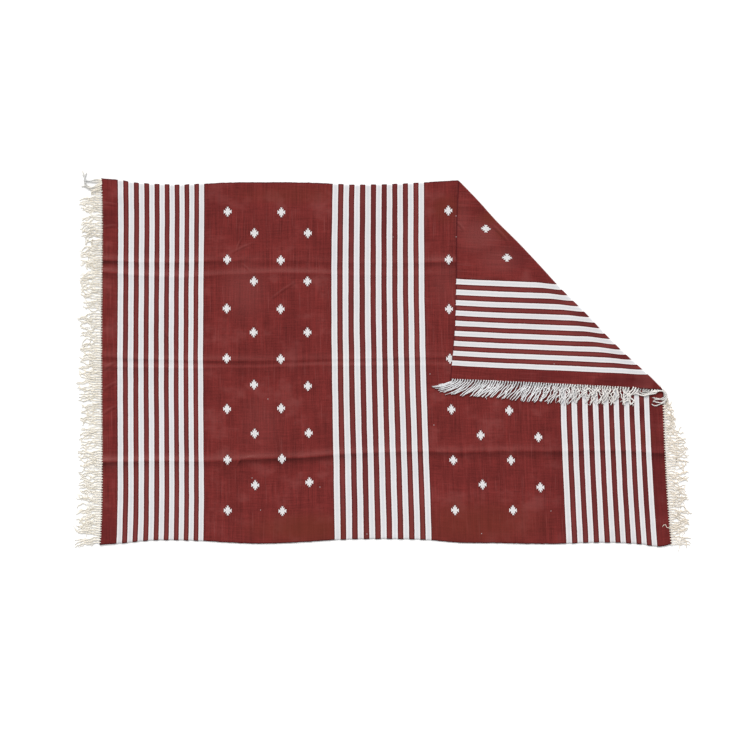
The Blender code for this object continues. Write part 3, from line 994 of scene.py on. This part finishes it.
def patches(place, rows):
    # soft oval patches in plan
    found = []
    for x, y, halfX, halfY, strength in thousandths(rows):
        away = vectorCalc("SUBTRACT", place, (x, y, 0))
        squashed = vectorCalc("MULTIPLY", away, (1 / halfX, 1 / halfY, 0))
        far = vectorCalc("LENGTH", squashed, output="Value")
        found.append((1 - soften(far, 0.15, 1.1)) * strength)
    return most(*found)


def newMaterial(name, looks):
    made = bpy.data.materials.new(name)
    made.use_nodes = True
    shader = made.node_tree.nodes["Principled BSDF"].inputs
    shader["Roughness"].default_value = looks["roughness"]
    shader["Specular IOR Level"].default_value = looks["gloss"]
    return made, made.node_tree, shader


def addBump(shader, height, looks):
    strength, distance = looks["bump"]
    inputs = {"Strength": strength, "Distance": distance, "Height": height}
    feed(shader["Normal"], Value(addNode(height.tree, "ShaderNodeBump", inputs).outputs[0]))


def clothMaterial(stripes, diamond, cotton, weave, pucker):
    made, tree, shader = newMaterial("wovenCotton", clothLooks)
    along, across, _ = splitVector(Value(addNode(tree, "ShaderNodeUVMap", uv_map="flatCloth").outputs[0]))
    place = Value(addNode(tree, "ShaderNodeTexCoord").outputs["Object"])
    # woven lines wander a little
    wander = (stretchedNoise(along, across, 14, 9, 3) - 0.5) * clothLooks["wander"]
    jagged = (stretchedNoise(along, across, 30, 240, 1) - 0.5) * clothLooks["jagged"]
    drawn = jagged + (wander + along)
    found = [
        useGroup(tree, stripes, Along=drawn, **{title.capitalize(): band[title] for title in band})
        for band in bands
    ]
    stripe, border, middle, between = [most(*masks) for masks in zip(*found)]
    inside = jagged + most(*[
        useGroup(
            tree, diamond, Along=nearest(drawn, thousandths((column,))),
            Across=nearest(across, thousandths(rows)),
        )[0]
        for column, rows in motif["columns"]
    ])
    figure = soften(inside, -0.0005, 0.0005)
    rim = soften(inside, -0.0052, -0.0022)
    outline = figure * (1 - soften(inside, 0.0015, 0.0045))
    # painted shade along the selvedges and between the strand roots at the warp ends
    side = (1 - soften(least(across, plan["width"] - across), 0.0015, 0.0055)) * 0.75
    end = (1 - soften(least(along, plan["length"] - along), 0.002, 0.005)) * 0.85
    # red yarn, faded by use, with a painted highlight along the middle of each red stripe and single paler
    # picks
    red, cloud = useGroup(
        tree, cotton, Along=along, Across=across, Colour=clothLooks["red"], Contrast=1.15
    )
    weft = stretchedNoise(along, across, 330, 240, 2, 0.7)
    wornAndPaintedLight = patches(place, clothLooks["wornAndPaintedLight"]) * calc("MULTIPLY_ADD", weft, 1.6, -0.15, clamp=True)
    # the middle of each red stripe gets a painted highlight
    wornAndPaintedLight = most(wornAndPaintedLight, soften(cloud, 0.5, 0.72) * 0.5, between * 0.45)
    picks = soften(stretchedNoise(along, across, 250, 8, 1), 0.6, 0.78) * 0.4
    brownAndFoldHighlight = patches(place, clothLooks["brownAndFoldHighlight"]) * 0.75
    # deeper red for darker yarn and the rim round the figures, and painted shade along the stripe borders,
    # selvedges and warp ends
    deepAndShaded = most(patches(place, clothLooks["deepAndShaded"]), side, end, most(border, rim) * 0.68)
    for share, shade in ((wornAndPaintedLight, "wornAndLitRed"), (picks, "palePick"), (brownAndFoldHighlight, "brownAndHighlightRed"), (deepAndShaded, "deepAndShadedRed")):
        red = blendColour(share, red, clothLooks[shade])
    # white yarn
    white, _ = useGroup(
        tree, cotton, Along=along, Across=across, Colour=clothLooks["white"], Contrast=0.35
    )
    white = blendColour(middle * 0.7, white, clothLooks["middleWhite"])
    white = blendColour(most(border * 0.8, outline), white, clothLooks["edgeWhite"])
    inPlan = vectorCalc("MULTIPLY", place, (1, 1, 0))
    fromSlub = least(*[
        vectorCalc("DISTANCE", inPlan, (x, y, 0), output="Value") for x, y in thousandths(clothLooks["slubs"])
    ])
    pattern = most(stripe, figure, (1 - soften(fromSlub, 0.0005, 0.0018)) * 0.8)
    # the red of a crease gets painted light on one side and painted shade on the other, and so do the fine
    # puckers
    paintedCreaseShading = Value(addNode(tree, "ShaderNodeAttribute", attribute_name="creaseLightAndShade").outputs["Fac"])
    for *sizes, turn in clothLooks["puckers"]:
        x, y, half, width = thousandths(sizes)
        way = (math.cos(math.radians(turn)), math.sin(math.radians(turn)), 0)
        paintedLightAndShade = useGroup(tree, pucker, Place=place, Middle=(x, y, 0), Way=way, Length=half, Width=width)[0]
        paintedCreaseShading = paintedLightAndShade * 0.55 + paintedCreaseShading
    creaseHighlight = calc("MULTIPLY", paintedCreaseShading, weft * 2.4 - 0.2, clamp=True)
    red = blendColour(creaseHighlight, red, clothLooks["highlitCreaseRed"])
    red = vectorCalc("SCALE", red, Scale=least(paintedCreaseShading, 0) + 1)
    feed(shader["Base Color"], blendColour(pattern, red, white))
    woven = useGroup(
        tree, weave, Along=along, Across=across, Pick=clothLooks["pick"], Warp=clothLooks["warp"]
    )[0]
    height = most(border, rim) * -0.15 + (figure * 0.8 + woven)
    addBump(shader, height, clothLooks)
    return made


cordLooks = {
    "cream": (0.83, 0.776, 0.675, 1),
    "warmCream": (0.8, 0.72, 0.612, 1),
    "grey": (0.74, 0.742, 0.755, 1),
    "dusty": (0.785, 0.758, 0.728, 1),
    "shadedGrey": (0.62, 0.62, 0.61, 1),
    # painted shade on the tuft at the far left corner: middle x, y, half sizes, strength
    "tuft": ((-975, 595, 45, 45, 1000),),
    "farFrom": (0.45, 0.75),
    "roughness": 0.95,
    "gloss": 0.15,
    "bump": (0.5, 0.0004),
}


def cordMaterial(name, cotton, tint, farTint):
    made, tree, shader = newMaterial(name, cordLooks)
    place = Value(addNode(tree, "ShaderNodeTexCoord").outputs["Object"])
    x, y, _ = splitVector(place)
    # the second tint is that of the end near the fold
    tint = blendColour(soften(x, *cordLooks["farFrom"]), tint, farTint)
    # the corner tuft gets painted shade
    tint = blendColour(patches(place, cordLooks["tuft"]), tint, cordLooks["shadedGrey"])
    feed(shader["Base Color"], useGroup(tree, cotton, Along=y, Across=x, Colour=tint, Contrast=0.5)[0])
    hairs = addNode(tree, "ShaderNodeTexNoise", {"Vector": place, "Scale": 1400, "Detail": 3})
    addBump(shader, Value(hairs.outputs["Fac"]), cordLooks)
    return made


studio = {
    "metresAcross": 2.475,  # the view is square
    "viewMiddle": (-0.0264, -0.0495),
    "height": 7.0,
    "floor": (0.93, 0.93, 0.93, 1),
    "glow": 0.06,
    "roughness": 0.9,
    "gloss": 0.1,
    "floorZ": -0.0003,
    "sky": 0.63,
    "sun": 3.1,
    "sunSpread": 30,
    "sunFrom": (-0.22, 1.0, 0.78),
}


def makeStudio():
    scene = bpy.context.scene
    scene.view_settings.view_transform = "Standard"
    bpy.ops.object.select_all(action="DESELECT")
    bpy.ops.mesh.primitive_plane_add(size=40, location=(0, 0, studio["floorZ"]))
    floor = bpy.context.object
    floor.name = "studioFloor"
    paint, _, shader = newMaterial("palePaint", studio)
    shader["Base Color"].default_value = studio["floor"]
    shader["Emission Color"].default_value = studio["floor"]
    shader["Emission Strength"].default_value = studio["glow"]
    floor.data.materials.append(paint)
    world = bpy.data.worlds.new("softSky")
    world.use_nodes = True
    light = world.node_tree.nodes["Background"].inputs
    light[0].default_value = (1, 1, 1, 1)
    light[1].default_value = studio["sky"]
    scene.world = world
    bpy.ops.object.light_add(type="SUN")
    sun = bpy.context.object
    sun.data.energy = studio["sun"]
    sun.data.angle = math.radians(studio["sunSpread"])
    sun.rotation_euler = Vector(studio["sunFrom"]).to_track_quat("Z", "Y").to_euler()
    bpy.ops.object.camera_add(location=(*studio["viewMiddle"], studio["height"]), rotation=(0, 0, 0))
    camera = bpy.context.object
    camera.data.lens = camera.data.sensor_width * studio["height"] / studio["metresAcross"]
    camera.data.clip_end = 100
    scene.camera = camera
    print("studio ready")


makeStudio()
cotton = cottonGroup()
rugCloth = makeCloth()
woven = clothMaterial(stripeGroup(), motifGroup(), cotton, weaveGroup(), puckerGroup())
rugCloth.data.materials.append(woven)
print("cloth ready,", len(rugCloth.data.polygons), "faces")

profile = plyProfile()
cream = cordMaterial("creamCord", cotton, cordLooks["cream"], cordLooks["warmCream"])
grey = cordMaterial("greyCord", cotton, cordLooks["grey"], cordLooks["dusty"])
# the share and thickness of the stray strands, and the charted ones with root height and thickness
fringeKinds = (
    {
        "name": "leftFringe", "node": "fringe_left", "looks": cream, "seed": 11,
        "rightEnd": False, "turned": False, "floorZ": 0.0, "start": 0.561, "bunches": leftBunches,
        "charted": (cornerStrands, 0.0042, 1.55), "threads": (),
        "thick": 0.9, "straight": 0.5, "cling": 0.36, "locks": (2, 3, 3, 4), "curl": 0.017,
        "strays": (0.8, 0.65), "hairs": 1.0,
    },
    {
        "name": "rightFringe", "node": "fringe_right", "looks": cream, "seed": 12,
        "rightEnd": True, "turned": False, "floorZ": 0.0, "start": -0.129, "bunches": rightBunches,
        "charted": ((), 0, 1), "threads": (looseThread,),
        "thick": 0.86, "straight": 0.58, "cling": 0.28, "locks": (1, 2, 2, 3), "curl": 0.025,
        "strays": (0.6, 0.6), "hairs": 1.0,
    },
    {
        "name": "turnedFringe", "node": "fringe_turned", "looks": grey, "seed": 13,
        "rightEnd": True, "turned": True, "floorZ": 0.0037, "start": 0.6, "bunches": turnedBunches,
        "charted": (foldEndStrands, 0.0072, 1.15), "threads": (),
        "thick": 1.25, "straight": 0.24, "cling": 0.4, "locks": (2, 3, 3, 4), "curl": 0.008,
        "strays": (0.6, 0.75), "hairs": 0.3,
    },
)
for kind in fringeKinds:
    fringe = makeFringe(kind, profile)
    fringe.data.materials.append(kind["looks"])
    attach(fringe, "root")
    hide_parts(kind["node"])
bpy.data.objects.remove(profile)
print("fringes ready")

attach(rugCloth, "root")
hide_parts("rug_cloth")
